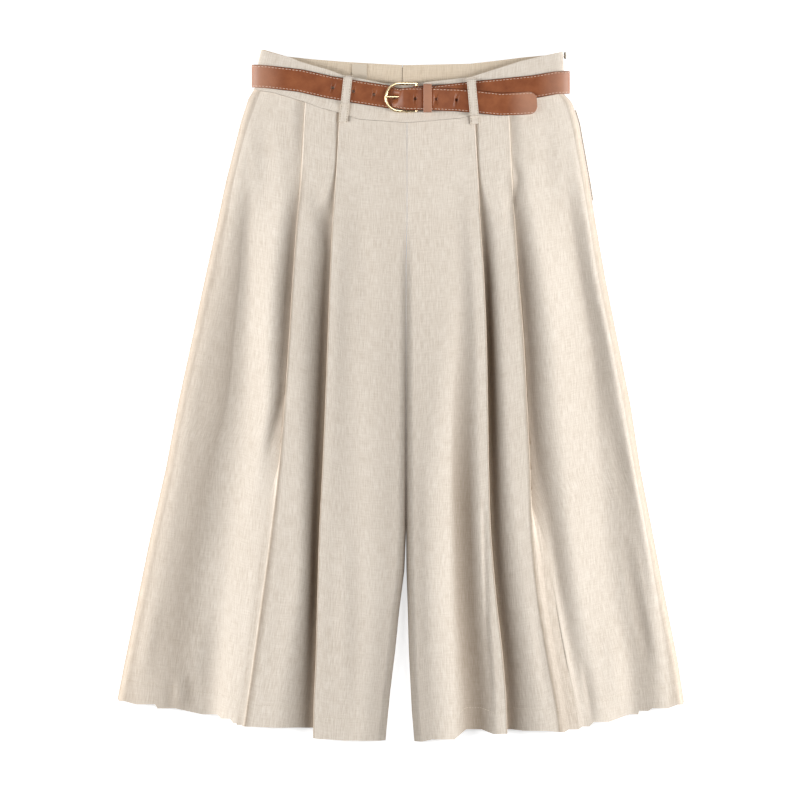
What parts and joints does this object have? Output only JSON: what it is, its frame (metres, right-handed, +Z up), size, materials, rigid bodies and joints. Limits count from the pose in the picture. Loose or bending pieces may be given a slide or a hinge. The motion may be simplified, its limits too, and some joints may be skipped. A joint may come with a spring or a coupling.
{
  "type": "belted wide-leg pleated culottes, laid flat",
  "caption": "Knee-length wide-leg pleated shorts (culottes) of woven cloth with a leather belt, buckled in its loops and laid flat, front up.",
  "frame": {"origin": "middle of the part's outline seen from above, on the surface that it lies on", "axes": "+Z up off the surface, +Y from hem to waist, +X to the right seen from above, which is the wearer's left"},
  "size_m": [0.6222, 0.7603, 0.0261],
  "materials": {
    "cloth": "matt linen-look weave, oatmeal",
    "zip_tape": "fine woven tape",
    "label": "blank satin-woven label",
    "leather": "smooth tan, semi-matt, dark painted edges",
    "gold": "polished pale gold plating",
    "steel": "small zip slider"
  },
  "bodies": {
    "root": {"front_right": "cloth", "front_left": "cloth", "back_right": "cloth", "back_left": "cloth", "front_waistband": "cloth", "back_waistband_right": "cloth", "back_waistband_left": "cloth", "blank_label": "label", "belt_strap": "leather", "buckle_prong": "gold", "buckle_frame": "gold", "belt_keeper": "leather", "belt_loop_front_right": "cloth", "belt_loop_front_left": "cloth", "belt_loop_back_right": "cloth", "belt_loop_back_left": "cloth", "side_zip": "zip_tape", "zip_slider": "steel"}
  },
  "joints": []
}
